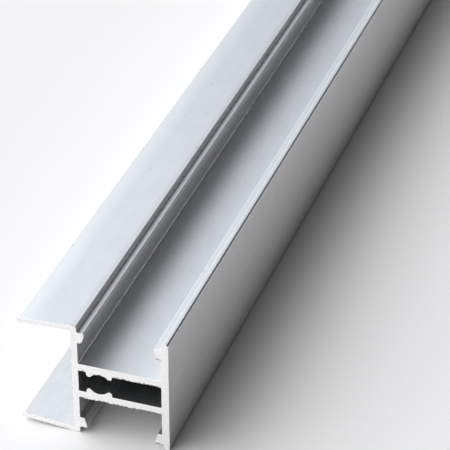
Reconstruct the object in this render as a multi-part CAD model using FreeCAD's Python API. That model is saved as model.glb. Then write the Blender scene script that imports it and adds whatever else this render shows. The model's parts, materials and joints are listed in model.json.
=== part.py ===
import FreeCAD, Part
import math
import os

# Profile for an LED strip, one aluminium extrusion cut square at both ends, in millimetres.
# Its slot is pushed onto the edge of a board. The channels above and below the webs each hold a
# strip behind a cover that snaps in past two ledges, and end caps are screwed into the port
# between the webs.
# X runs across the profile, with the slot open towards -X. Y runs along it and Z is up.
# The origin is the middle of the profile's box, at its underside.

# Length as cut
LENGTH = 500.0

# Slot for the board and the two flanges that grip it
BOARD_THICKNESS = 18.0
BOARD_CLEARANCE = 0.2
SLOT_DEPTH = 8.65
FLANGE_THICKNESS = 0.8
TOP_TOE_IN_DEG = 2.5
BOTTOM_TOE_IN_DEG = 5.0
FLANGE_TIP_FLAT = 0.1

# Walls, and the channels that they make with the webs
BACK_WALL = 1.05
CHANNEL_WIDTH = 13.4
FRONT_WALL = 1.2
WEB_THICKNESS = 1.25

# Rims, cover seats and snap ledges
RIM_THICKNESS = 1.0
COVER_SEAT_DEPTH = 1.0
LEDGE_REACH = 1.1
LEDGE_THICKNESS = 1.9
NOSE_HEIGHT = 0.65
LEDGE_FOOT_REACH = 0.7

# Split screw port between the webs
PORT_RADIUS = 1.8
PORT_FROM_BACK_WALL = 3.35
PORT_CROWN = 0.1
PORT_OPENING_DEG = 43.5
LIP_TIP_RADIUS = 0.45

# Small radii of the drawn section
RIM_EDGE_RADIUS = 0.2
FRONT_EDGE_RADIUS = 0.4
SEAT_ROOT_RADIUS = 0.35
NOSE_EDGE_RADIUS = 0.15
ROOT_RADIUS = 0.2

# Both edges of a flange's tip are rounded, down to the flat that is left between them
flange_tip_radius = (FLANGE_THICKNESS - FLANGE_TIP_FLAT) / 2

# Places across the profile
width = SLOT_DEPTH + BACK_WALL + CHANNEL_WIDTH + FRONT_WALL
flange_tip_x = -width / 2
slot_floor_x = flange_tip_x + SLOT_DEPTH
back_wall_x = slot_floor_x + BACK_WALL
front_wall_x = back_wall_x + CHANNEL_WIDTH
front_face_x = front_wall_x + FRONT_WALL
port_x = back_wall_x + PORT_FROM_BACK_WALL

# Heights above the middle of the section, which the lower half repeats below it
slot_z = (BOARD_THICKNESS + BOARD_CLEARANCE) / 2
rim_z = slot_z + FLANGE_THICKNESS
seat_z = rim_z - COVER_SEAT_DEPTH
ledge_under_z = seat_z - LEDGE_THICKNESS
chamber_z = PORT_RADIUS + PORT_CROWN
web_face_z = chamber_z + WEB_THICKNESS


def rounded_path(corners):
    """Edges along (x, z, radius) corners, with a tangent arc at each inner corner that has a radius."""
    places = [FreeCAD.Vector(x, 0, z) for x, z, radius in corners]
    radii = [radius for x, z, radius in corners]
    edges = []
    start = places[0]
    for before, corner, after, radius in zip(places, places[1:], places[2:], radii[1:]):
        if radius == 0:
            edges.append(Part.LineSegment(start, corner).toShape())
            start = corner
            continue
        to_before = (before - corner).normalize()
        to_after = (after - corner).normalize()
        half_angle = to_before.getAngle(to_after) / 2
        setback = radius / math.tan(half_angle)
        arc_start = corner + to_before * setback
        arc_end = corner + to_after * setback
        bisector = (to_before + to_after).normalize()
        arc_middle = corner + bisector * (radius / math.sin(half_angle) - radius)
        edges.append(Part.LineSegment(start, arc_start).toShape())
        edges.append(Part.Arc(arc_start, arc_middle, arc_end).toShape())
        start = arc_end
    edges.append(Part.LineSegment(start, places[-1]).toShape())
    return edges


def polar(centre, radius, degrees):
    """Point of the section at an angle about a centre, counted from +X towards +Z."""
    angle = math.radians(degrees)
    return centre + FreeCAD.Vector(radius * math.cos(angle), 0, radius * math.sin(angle))


def arc(centre, radius, start_deg, end_deg):
    """Edge round a centre from one angle to another."""
    middle_deg = (start_deg + end_deg) / 2
    angles = (start_deg, middle_deg, end_deg)
    return Part.Arc(*[polar(centre, radius, degrees) for degrees in angles]).toShape()


def ledge_corners(wall_x, rim_x, inward):
    """Corners from the rim's top down over the cover seat and the snap ledge to the web."""
    nose_x = wall_x + inward * LEDGE_REACH
    foot_x = wall_x + inward * LEDGE_FOOT_REACH
    return [
        (rim_x, rim_z, RIM_EDGE_RADIUS),
        (rim_x, seat_z, SEAT_ROOT_RADIUS),
        (nose_x, seat_z, NOSE_EDGE_RADIUS),
        (nose_x, seat_z - NOSE_HEIGHT, NOSE_EDGE_RADIUS),
        (foot_x, ledge_under_z, NOSE_EDGE_RADIUS),
        (wall_x, ledge_under_z, ROOT_RADIUS),
        (wall_x, web_face_z, ROOT_RADIUS),
    ]


def half_corners(toe_in_deg):
    """Corners of the upper half, from the slot's floor round the flange and channel to the front face."""
    toe_in = SLOT_DEPTH * math.tan(math.radians(toe_in_deg))
    flange = [
        (slot_floor_x, slot_z, ROOT_RADIUS),
        (flange_tip_x, slot_z - toe_in, flange_tip_radius),
        (flange_tip_x, rim_z - toe_in, flange_tip_radius),
        (slot_floor_x, rim_z, 0),
    ]
    back_ledge = ledge_corners(back_wall_x, slot_floor_x + RIM_THICKNESS, 1)
    front_ledge = ledge_corners(front_wall_x, front_face_x - RIM_THICKNESS, -1)
    front_edge = [(front_face_x, rim_z, FRONT_EDGE_RADIUS)]
    return flange + back_ledge + front_ledge[::-1] + front_edge


def outline():
    """Closed outer line of the section, drawn about its middle height."""
    upper = half_corners(TOP_TOE_IN_DEG)
    lower = [(x, -z, radius) for x, z, radius in reversed(half_corners(BOTTOM_TOE_IN_DEG))]
    seam = [(slot_floor_x, 0, 0)]
    return Part.Wire(rounded_path(seam + upper + lower + seam))


# The lip tips are full rounds that meet the port's bore in a tangent
port_centre = FreeCAD.Vector(port_x, 0, 0)
tip_distance = PORT_RADIUS + LIP_TIP_RADIUS
first_tip = polar(port_centre, tip_distance, PORT_OPENING_DEG)
tip_z = first_tip.z
flank_x = first_tip.x - port_x + LIP_TIP_RADIUS


def lip_arcs(turn_deg):
    """Tip, bore and tip of the pair of lips on the upper web, or on the lower one half a turn on."""
    far_deg = turn_deg + 180 - PORT_OPENING_DEG
    near_deg = turn_deg + PORT_OPENING_DEG
    far_tip = polar(port_centre, tip_distance, far_deg)
    near_tip = polar(port_centre, tip_distance, near_deg)
    return [
        arc(far_tip, LIP_TIP_RADIUS, turn_deg + 180, far_deg + 180),
        arc(port_centre, PORT_RADIUS, far_deg, near_deg),
        arc(near_tip, LIP_TIP_RADIUS, near_deg + 180, turn_deg + 360),
    ]


def chamber_end(wall_x, lip_x, upward):
    """Edges of the chamber between one wall and the lips beside it, from one web to the other."""
    return rounded_path([
        (lip_x, -upward * tip_z, 0),
        (lip_x, -upward * chamber_z, ROOT_RADIUS),
        (wall_x, -upward * chamber_z, ROOT_RADIUS),
        (wall_x, upward * chamber_z, ROOT_RADIUS),
        (lip_x, upward * chamber_z, ROOT_RADIUS),
        (lip_x, upward * tip_z, 0),
    ])


def chamber():
    """Closed line of the chamber between the webs, with the screw port's lips left standing in it."""
    back_end = chamber_end(back_wall_x, port_x - flank_x, 1)
    front_end = chamber_end(front_wall_x, port_x + flank_x, -1)
    return Part.Wire(back_end + lip_arcs(0) + front_end + lip_arcs(180))


def extruded_profile():
    """The whole profile: its section, with the chamber as a hole, drawn out along Y."""
    section = Part.makeFace([outline(), chamber()], "Part::FaceMakerBullseye")
    profile = section.extrude(FreeCAD.Vector(0, LENGTH, 0))
    profile.translate(FreeCAD.Vector(0, -LENGTH / 2, rim_z))
    return profile


os.makedirs("parts", exist_ok=True)
extruded_profile().exportStep("parts/extruded_profile.step")
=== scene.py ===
import itertools
import json
import math

import bpy
from mathutils import Euler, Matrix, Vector


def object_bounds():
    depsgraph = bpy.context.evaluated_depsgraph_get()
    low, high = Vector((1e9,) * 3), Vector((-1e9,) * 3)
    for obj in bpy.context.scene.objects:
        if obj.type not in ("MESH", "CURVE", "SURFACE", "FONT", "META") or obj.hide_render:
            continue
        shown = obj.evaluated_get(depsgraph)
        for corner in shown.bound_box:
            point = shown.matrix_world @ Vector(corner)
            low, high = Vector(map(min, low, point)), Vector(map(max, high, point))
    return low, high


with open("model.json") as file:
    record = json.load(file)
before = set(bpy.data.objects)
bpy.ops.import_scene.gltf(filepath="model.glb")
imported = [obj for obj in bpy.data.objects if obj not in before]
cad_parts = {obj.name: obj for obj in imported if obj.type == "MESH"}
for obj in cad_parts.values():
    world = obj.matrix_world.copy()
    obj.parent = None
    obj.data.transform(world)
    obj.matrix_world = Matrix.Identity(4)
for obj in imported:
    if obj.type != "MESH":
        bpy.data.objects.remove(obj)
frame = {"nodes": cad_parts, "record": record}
cad_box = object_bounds()

# Camera, as found from the photo: lengths in metres in the model's frame, angles in degrees
CAMERA_PLACE = (0.10354, -0.49143, 0.20689)
CAMERA_AZIMUTH = 18.880
CAMERA_ELEVATION = 32.737
CAMERA_ROLL = 0.098
CAMERA_LENS_MM = 172.88
SENSOR_MM = 36.0
CLIP_START = 0.01
CLIP_END = 100.0

# Floor
FLOOR_HALF_SIZE = 20.0
FLOOR_COLOUR = (0.95, 0.95, 0.95, 1.0)

# Tints of the light
COOL = (0.94, 1.0, 1.07)
PLAIN = (1.0, 0.98, 0.985)

# Large soft windows that light the room, most of them on the side of the slot. Each row has the azimuths of
# its windows, counted from +X towards +Y, and their elevations, both in degrees, then their strength and
# colour.
WINDOW_ROWS = (
    ((125.0, 150.0), (15.0,), 0.85, COOL),
    ((125.0,), (38.0,), 1.05, COOL),
    ((150.0,), (38.0,), 0.85, COOL),
    ((180.0, 215.0), (15.0, 38.0), 0.85, PLAIN),
    ((180.0, 215.0), (62.0,), 1.5, PLAIN),
    ((250.0,), (15.0,), 1.6, PLAIN),
    ((250.0,), (38.0,), 0.55, PLAIN),
    ((50.0,), (3.0,), 0.1, PLAIN),
)
WINDOW_FOCUS = 12.0

# Colours and gloss: satin on the long faces, the same satin darkened with painted shade in the chamber, and
# bare metal on the cut ends. The radii that slant() finds are glossier and the channels' corners glossiest,
# as their highlights in the photo look.
SATIN_COLOUR = (0.78, 0.78, 0.785)
CHAMBER_PAINTED_SHADE_COLOUR = (0.63, 0.65, 0.66)
SAWN_COLOUR = (0.975, 0.97, 0.965)
SATIN_ROUGHNESS = 0.46
RADIUS_ROUGHNESS = 0.30
CORNER_ROUGHNESS = 0.15
SAWN_ROUGHNESS = 0.60
SATIN_ANISOTROPY = 0.55

# Order of the materials on the profile, and how squarely a face looks along Y to count as a cut end
SATIN, SAWN, CHAMBER = range(3)
CUT_END_NORMAL = 0.9

# Sizes of the section that the frame doesn't give, and the width over which a place fades out
CHANNEL_WIDTH = 0.0134
WEB_THICKNESS = 0.00125
ROOT_RADIUS = 0.0002
PLACE_MARGIN = 0.00005

# Places on the section, from its box and its mounts
low_corner, high_corner = cad_box
mounts = {mount["name"]: Vector(mount["pos_m"]) for mount in frame["record"]["mounts"]}
slot_floor_x = mounts["board_slot"].x
chamber_middle = (mounts["upper_strip_seat"] + mounts["lower_strip_seat"]) / 2
web_face = mounts["upper_strip_seat"].z - chamber_middle.z
chamber_half_width = CHANNEL_WIDTH / 2
chamber_half_height = web_face - WEB_THICKNESS

# Rounded corners of the channels, as distances from the middle of the chamber along X and Z
corner_x = (chamber_half_width - ROOT_RADIUS, chamber_half_width + PLACE_MARGIN)
corner_z = (web_face - PLACE_MARGIN, web_face + ROOT_RADIUS)

# Top of the upper flange and of the rim beside it, which get a painted shade: where the shade sets in and
# where it is full, counted from the flange's tip, how far the flange leans down at most, and how wide the
# rim's flat top is
FLANGE_CHANGE = (0.00025, 0.00465)
FLANGE_FALL = 0.0007
RIM_TOP_WIDTH = 0.0009
flange_change_x = tuple(low_corner.x + distance for distance in FLANGE_CHANGE)
flange_top_x = (low_corner.x - PLACE_MARGIN, slot_floor_x + RIM_TOP_WIDTH)
flange_top_z = (high_corner.z - FLANGE_FALL, high_corner.z + PLACE_MARGIN)

# Outer face of the front wall, which gets a painted shade, and how far behind it the shade starts
FRONT_FACE_FADE = 0.00025
front_face_x = (high_corner.x - FRONT_FACE_FADE, high_corner.x - PLACE_MARGIN)

# Part of the cut ends whose lower edges the saw tears, from inside the back wall to the front face
BACK_WALL_INSET = 0.0005
torn_x = (slot_floor_x + BACK_WALL_INSET, high_corner.x + PLACE_MARGIN)

# Sizes of the surface detail in metres, counted across the profile unless they are lengths. The core of a
# speck is a share of its radius, and the stretch of a smudge a share of its size.
DIE_LINE_WIDTH = 0.0005
DIE_BAND_WIDTH = 0.0022
DIE_LINE_LENGTH = 0.35
MOTTLE_SIZE = 0.0009
SPECK_SPACING = 0.0031
SPECK_SIZE = 0.00020
SPECK_CORE = 0.4
CORNER_BREAK_LENGTH = 0.006
SAW_GRAIN_SIZE = 0.00035
SAW_LINE_WIDTH = 0.00025
SAW_LINE_LENGTH = 0.006
NICK_SIZE = 0.00045
SMUDGE_SIZE = 0.0026
SMUDGE_STRETCH = 2.0
EDGE_WIDTH = 0.00012
SAW_EDGE_WIDTH = 0.00014
BURR_WIDTH = 0.0005

# Depths of the detail that is felt as bumps, in metres
DIE_LINE_DEPTH = 1e-6
MOTTLE_DEPTH = 3e-6
SAW_LINE_DEPTH = 4e-6
SAW_GRAIN_DEPTH = 6e-6

# How much lighter or darker each kind of detail makes the metal. The flange and the front face get painted
# shade and the radii a painted highlight, tuned to the photo; the rubbed edges are lighter partly from wear
# and partly from a painted highlight, and the nicks and burrs hold painted shade.
DIE_LINE_SHADES = (0.99, 1.01)
DIE_BAND_SHADES = (0.994, 1.006)
MOTTLE_SHADES = (0.98, 1.02)
SMUDGE_SHADES = (0.985, 1.015)
SAW_GRAIN_SHADES = (0.96, 1.02)
SAW_LINE_SHADES = (0.98, 1.015)
SPECK_SHADE = 0.55
FLANGE_PAINTED_SHADE = 0.90
FRONT_FACE_PAINTED_SHADE = 0.88
RADIUS_PAINTED_HIGHLIGHT = 1.12
RUBBED_WEAR_AND_HIGHLIGHT_SHADE = 1.10
NICK_PAINTED_SHADE = 0.30
BURR_PAINTED_SHADE = 0.06

# How much rougher or smoother each kind of detail makes it
DIE_BAND_ROUGHNESS = (-0.01, 0.01)
MOTTLE_ROUGHNESS = (-0.025, 0.025)
SAW_GRAIN_ROUGHNESS = (-0.06, 0.06)
RUBBED_SMOOTHING = 0.04

# Range of the noises, and how rubbed an edge is at least
NOISE_RANGE = (0.3, 0.7)
RUBBED_LEAST = 0.3

# Levels of a noise or a normal between which each kind of detail sets in
RUBBED_ONSET = (0.35, 0.60)
BREAK_ONSET = (0.34, 0.50)
NICK_ONSET = (0.54, 0.60)
BURR_ONSET = (0.46, 0.50)
EDGE_ONSET = (0.75, 0.99)
SLANT_ONSET = (0.25, 0.45)
UNDERSIDE_ONSET = (-0.45, -0.10)

# Octaves of the noises, and samples that find the edges
COARSE_DETAIL = 2.0
MEDIUM_DETAIL = 3.0
FINE_DETAIL = 4.0
EDGE_SAMPLES = 8


def add_node(tree, kind, inputs=(), **properties):
    """New shader node with its properties set and its inputs either linked or given a value."""
    node = tree.nodes.new(kind)
    for name, value in properties.items():
        setattr(node, name, value)
    for name, value in dict(inputs).items():
        if isinstance(value, bpy.types.NodeSocket):
            tree.links.new(value, node.inputs[name])
        else:
            node.inputs[name].default_value = value
    return node


def maths(tree, operation, first, second=0.0):
    """Result of one sum on two values."""
    return add_node(tree, "ShaderNodeMath", {0: first, 1: second}, operation=operation).outputs["Value"]


def vector_maths(tree, operation, inputs):
    """Node for one sum on vectors."""
    return add_node(tree, "ShaderNodeVectorMath", inputs, operation=operation)


def spread(tree, value, low, high, low_result, high_result):
    """Value turned smoothly from one range into another."""
    inputs = {
        "Value": value,
        "From Min": low,
        "From Max": high,
        "To Min": low_result,
        "To Max": high_result,
    }
    return add_node(tree, "ShaderNodeMapRange", inputs, interpolation_type="SMOOTHSTEP").outputs["Result"]


def blend(tree, mask, plain, full):
    """One value where the mask is zero and another where it is one."""
    return spread(tree, mask, 0.0, 1.0, plain, full)


def onset(tree, value, levels):
    """Zero below the first level, rising to one at the second."""
    return spread(tree, value, *levels, 0.0, 1.0)


def varied(tree, noise, limits):
    """Noise turned into a value that varies between two limits."""
    return spread(tree, noise, *NOISE_RANGE, *limits)


def within(tree, value, limits):
    """One between two limits and zero outside them."""
    low, high = limits
    above = spread(tree, value, low - PLACE_MARGIN, low, 0.0, 1.0)
    below = spread(tree, value, high, high + PLACE_MARGIN, 1.0, 0.0)
    return maths(tree, "MULTIPLY", above, below)


def object_place(tree):
    """Place on the profile, in its own frame."""
    return add_node(tree, "ShaderNodeTexCoord").outputs["Object"]


def parts_of(tree, vector):
    """X, Y and Z of a vector."""
    return add_node(tree, "ShaderNodeSeparateXYZ", {"Vector": vector}).outputs


def grain(tree, sizes, detail=COARSE_DETAIL):
    """Noise whose grains have the given sizes along X, Y and Z, in metres."""
    scale = tuple(1 / size for size in sizes)
    stretched = add_node(tree, "ShaderNodeMapping", {"Vector": object_place(tree), "Scale": scale})
    inputs = {"Vector": stretched.outputs["Vector"], "Scale": 1.0, "Detail": detail}
    return add_node(tree, "ShaderNodeTexNoise", inputs).outputs["Fac"]


def specks(tree):
    """One on small round specks, strewn thinly over the surface, and zero elsewhere."""
    inputs = {"Vector": object_place(tree), "Scale": 1 / SPECK_SPACING, "Randomness": 1.0}
    distance = add_node(tree, "ShaderNodeTexVoronoi", inputs).outputs["Distance"]
    radius = SPECK_SIZE / SPECK_SPACING
    return spread(tree, distance, SPECK_CORE * radius, radius, 1.0, 0.0)


def rounded_normal(tree, width):
    """Normal that looks as if every edge were rounded over a width."""
    return add_node(tree, "ShaderNodeBevel", {"Radius": width}, samples=EDGE_SAMPLES).outputs["Normal"]


def edges(tree, width):
    """One at an edge and zero from a width away, with the normal that rounds the edge."""
    rounded = rounded_normal(tree, width)
    flat = add_node(tree, "ShaderNodeNewGeometry").outputs["Normal"]
    alike = vector_maths(tree, "DOT_PRODUCT", {0: rounded, 1: flat}).outputs["Value"]
    return spread(tree, alike, *EDGE_ONSET, 1.0, 0.0), rounded


def slant(tree):
    """One on the radii that turn between +X and +Z, or -X and -Z, and zero on other radii and flat faces."""
    normal = parts_of(tree, add_node(tree, "ShaderNodeTexCoord").outputs["Normal"])
    return onset(tree, maths(tree, "MULTIPLY", normal["X"], normal["Z"]), SLANT_ONSET)


def painted_shade_beside_wall(tree):
    """Where the painted shade falls: zero at the flange's tip, rising to one on its top beside the wall,
    zero elsewhere.
    """
    place = parts_of(tree, object_place(tree))
    rising = onset(tree, place["X"], flange_change_x)
    across = within(tree, place["X"], flange_top_x)
    up = within(tree, place["Z"], flange_top_z)
    return maths(tree, "MULTIPLY", rising, maths(tree, "MULTIPLY", across, up))


def channel_corners(tree):
    """One on the rounded corners between the walls and the webs, with short breaks, and zero elsewhere."""
    offset = vector_maths(tree, "SUBTRACT", {0: object_place(tree), 1: chamber_middle}).outputs["Vector"]
    distance = parts_of(tree, vector_maths(tree, "ABSOLUTE", {0: offset}).outputs["Vector"])
    across = within(tree, distance["X"], corner_x)
    up = within(tree, distance["Z"], corner_z)
    unbroken = onset(tree, grain(tree, [CORNER_BREAK_LENGTH] * 3, FINE_DETAIL), BREAK_ONSET)
    return maths(tree, "MULTIPLY", maths(tree, "MULTIPLY", across, up), unbroken)


def shaded_burrs(tree, nick):
    """One on the torn spots that the saw leaves where it comes out, along the edges that face down, which
    get painted shade.
    """
    height = parts_of(tree, rounded_normal(tree, BURR_WIDTH))["Z"]
    under = spread(tree, height, *UNDERSIDE_ONSET, 1.0, 0.0)
    torn = maths(tree, "MULTIPLY", under, within(tree, parts_of(tree, object_place(tree))["X"], torn_x))
    return maths(tree, "MULTIPLY", torn, onset(tree, nick, BURR_ONSET))


def shaded(tree, colour, *shades):
    """Colour made lighter or darker by each of the shades."""
    product = shades[0]
    for shade in shades[1:]:
        product = maths(tree, "MULTIPLY", product, shade)
    return vector_maths(tree, "SCALE", {0: colour, "Scale": product}).outputs["Vector"]


def bumped(tree, normal, height, depth):
    """Normal changed by a relief of the given depth."""
    inputs = {"Height": height, "Distance": depth, "Normal": normal}
    return add_node(tree, "ShaderNodeBump", inputs).outputs["Normal"]


def new_metal(name):
    """Metal material with its tree and shader."""
    material = bpy.data.materials.new(name)
    material.use_nodes = True
    tree = material.node_tree
    shader = tree.nodes["Principled BSDF"]
    shader.inputs["Metallic"].default_value = 1.0
    return material, tree, shader


def link_surface(tree, shader, colour, roughness, normal):
    """Let the colour, roughness and normal drive the shader."""
    tree.links.new(colour, shader.inputs["Base Color"])
    tree.links.new(roughness, shader.inputs["Roughness"])
    tree.links.new(normal, shader.inputs["Normal"])


def satin_material(name, base_colour, radius_roughness):
    """Satin anodised aluminium, with die lines along the profile, a mottle, specks, edges lightened by wear
    and painted highlight, and painted highlight and shade set by place.
    """
    material, tree, shader = new_metal(name)
    lines = grain(tree, (DIE_LINE_WIDTH, DIE_LINE_LENGTH, DIE_LINE_WIDTH))
    bands = grain(tree, (DIE_BAND_WIDTH, DIE_LINE_LENGTH, DIE_BAND_WIDTH))
    mottle = grain(tree, [MOTTLE_SIZE] * 3, FINE_DETAIL)
    smudge = grain(tree, (SMUDGE_SIZE, SMUDGE_STRETCH * SMUDGE_SIZE, SMUDGE_SIZE), MEDIUM_DETAIL)
    radii = slant(tree)
    edge, rounded = edges(tree, EDGE_WIDTH)
    # Edges lightened partly by real wear and partly by a painted highlight; the same mask makes them
    # smoother.
    wear_and_highlight = maths(tree, "MULTIPLY", edge, spread(tree, mottle, *RUBBED_ONSET, RUBBED_LEAST, 1.0))
    colour = shaded(
        tree, base_colour,
        varied(tree, lines, DIE_LINE_SHADES),
        varied(tree, bands, DIE_BAND_SHADES),
        varied(tree, mottle, MOTTLE_SHADES),
        varied(tree, smudge, SMUDGE_SHADES),
        blend(tree, specks(tree), 1.0, SPECK_SHADE),
        # Painted shade on the top of the upper flange beside the wall.
        blend(tree, painted_shade_beside_wall(tree), 1.0, FLANGE_PAINTED_SHADE),
        # Painted shade on the outer face of the front wall.
        spread(tree, parts_of(tree, object_place(tree))["X"], *front_face_x, 1.0, FRONT_FACE_PAINTED_SHADE),
        # Painted highlight on the radii that slant() finds.
        blend(tree, radii, 1.0, RADIUS_PAINTED_HIGHLIGHT),
        # Edges lightened by wear and by a painted highlight.
        blend(tree, wear_and_highlight, 1.0, RUBBED_WEAR_AND_HIGHLIGHT_SHADE))
    roughness = blend(tree, radii, SATIN_ROUGHNESS, radius_roughness)
    roughness = blend(tree, channel_corners(tree), roughness, CORNER_ROUGHNESS)
    roughness = maths(tree, "ADD", roughness, varied(tree, bands, DIE_BAND_ROUGHNESS))
    roughness = maths(tree, "ADD", roughness, varied(tree, mottle, MOTTLE_ROUGHNESS))
    roughness = maths(tree, "SUBTRACT", roughness, blend(tree, wear_and_highlight, 0.0, RUBBED_SMOOTHING))
    normal = bumped(tree, bumped(tree, rounded, lines, DIE_LINE_DEPTH), mottle, MOTTLE_DEPTH)
    link_surface(tree, shader, colour, roughness, normal)
    across = add_node(tree, "ShaderNodeTangent", direction_type="RADIAL", axis="Y").outputs["Tangent"]
    tree.links.new(across, shader.inputs["Tangent"])
    shader.inputs["Anisotropic"].default_value = SATIN_ANISOTROPY
    return material


def sawn_material():
    """Bare saw-cut aluminium of the two ends, with saw lines, a fine grain, and painted shade on nicks and
    burrs.
    """
    material, tree, shader = new_metal("sawn_aluminium")
    coarse = grain(tree, [SAW_GRAIN_SIZE] * 3, FINE_DETAIL)
    saw_lines = grain(tree, (SAW_LINE_LENGTH, SAW_LINE_WIDTH, SAW_LINE_WIDTH))
    nick = grain(tree, [NICK_SIZE] * 3, MEDIUM_DETAIL)
    edge, rounded = edges(tree, SAW_EDGE_WIDTH)
    shaded_nicks = maths(tree, "MULTIPLY", edge, onset(tree, nick, NICK_ONSET))
    colour = shaded(
        tree, SAWN_COLOUR,
        varied(tree, coarse, SAW_GRAIN_SHADES),
        varied(tree, saw_lines, SAW_LINE_SHADES),
        # Painted shade in the small notches of the nicks and burrs.
        blend(tree, shaded_nicks, 1.0, NICK_PAINTED_SHADE),
        blend(tree, shaded_burrs(tree, nick), 1.0, BURR_PAINTED_SHADE))
    roughness = maths(tree, "ADD", varied(tree, coarse, SAW_GRAIN_ROUGHNESS), SAWN_ROUGHNESS)
    normal = bumped(tree, bumped(tree, rounded, saw_lines, SAW_LINE_DEPTH), coarse, SAW_GRAIN_DEPTH)
    link_surface(tree, shader, colour, roughness, normal)
    return material


def finish_of(face):
    """Which of the profile's materials a face has."""
    if abs(face.normal.y) > CUT_END_NORMAL:
        return SAWN
    offset = face.center - chamber_middle
    across = abs(offset.x) < chamber_half_width + PLACE_MARGIN
    between = abs(offset.z) < chamber_half_height + PLACE_MARGIN
    return CHAMBER if across and between else SATIN


def dress_profile(profile):
    """Give the long faces the satin finish, the cut ends the sawn one and the chamber the satin darkened
    with painted shade.
    """
    mesh = profile.data
    mesh.materials.clear()
    mesh.materials.append(satin_material("satin_aluminium", SATIN_COLOUR, RADIUS_ROUGHNESS))
    mesh.materials.append(sawn_material())
    # The chamber's satin is darkened with painted shade.
    mesh.materials.append(satin_material("chamber_painted_shade_aluminium", CHAMBER_PAINTED_SHADE_COLOUR, SATIN_ROUGHNESS))
    for face in mesh.polygons:
        face.material_index = finish_of(face)


def add_floor():
    """Plain pale floor under the profile."""
    bpy.ops.mesh.primitive_plane_add(size=2 * FLOOR_HALF_SIZE)
    floor = bpy.context.object
    floor.name = "floor"
    material = bpy.data.materials.new("floor")
    material.use_nodes = True
    shader = material.node_tree.nodes["Principled BSDF"]
    shader.inputs["Base Color"].default_value = FLOOR_COLOUR
    shader.inputs["Roughness"].default_value = 1.0
    shader.inputs["Specular IOR Level"].default_value = 0.0
    floor.data.materials.append(material)


def towards(azimuth_deg, elevation_deg):
    """Direction with an azimuth counted from +X towards +Y and an elevation."""
    azimuth = math.radians(azimuth_deg)
    elevation = math.radians(elevation_deg)
    level = math.cos(elevation)
    return (level * math.cos(azimuth), level * math.sin(azimuth), math.sin(elevation))


def window_glow(tree, looking, direction, strength, colour):
    """Light of one soft window, which fades with the angle from its middle."""
    alike = vector_maths(tree, "DOT_PRODUCT", {0: looking, 1: direction}).outputs["Value"]
    glow = maths(tree, "POWER", maths(tree, "MAXIMUM", alike), WINDOW_FOCUS)
    shine = maths(tree, "MULTIPLY", glow, strength)
    return vector_maths(tree, "SCALE", {0: colour, "Scale": shine}).outputs["Vector"]


def add_windows():
    """Light of the room, as the sum of large soft windows in an otherwise dark surround."""
    world = bpy.data.worlds.new("room")
    world.use_nodes = True
    tree = world.node_tree
    looking = add_node(tree, "ShaderNodeTexCoord").outputs["Generated"]
    light = (0.0, 0.0, 0.0)
    for azimuths, elevations, strength, colour in WINDOW_ROWS:
        for azimuth, elevation in itertools.product(azimuths, elevations):
            glow = window_glow(tree, looking, towards(azimuth, elevation), strength, colour)
            light = vector_maths(tree, "ADD", {0: light, 1: glow}).outputs["Vector"]
    tree.links.new(light, tree.nodes["Background"].inputs["Color"])
    bpy.context.scene.world = world


def add_camera():
    """Camera at the photo's viewing angle."""
    data = bpy.data.cameras.new("camera")
    data.lens = CAMERA_LENS_MM
    data.sensor_width = SENSOR_MM
    data.clip_start = CLIP_START
    data.clip_end = CLIP_END
    camera = bpy.data.objects.new("camera", data)
    bpy.context.scene.collection.objects.link(camera)
    camera.location = CAMERA_PLACE
    turn = Euler((math.radians(90 - CAMERA_ELEVATION), 0.0, math.radians(CAMERA_AZIMUTH))).to_matrix()
    roll = Euler((0.0, 0.0, math.radians(CAMERA_ROLL))).to_matrix()
    camera.rotation_euler = (turn @ roll).to_euler()
    bpy.context.scene.camera = camera


bpy.context.scene.view_settings.view_transform = "Standard"
dress_profile(frame["nodes"]["extruded_profile"])
add_floor()
add_windows()
add_camera()
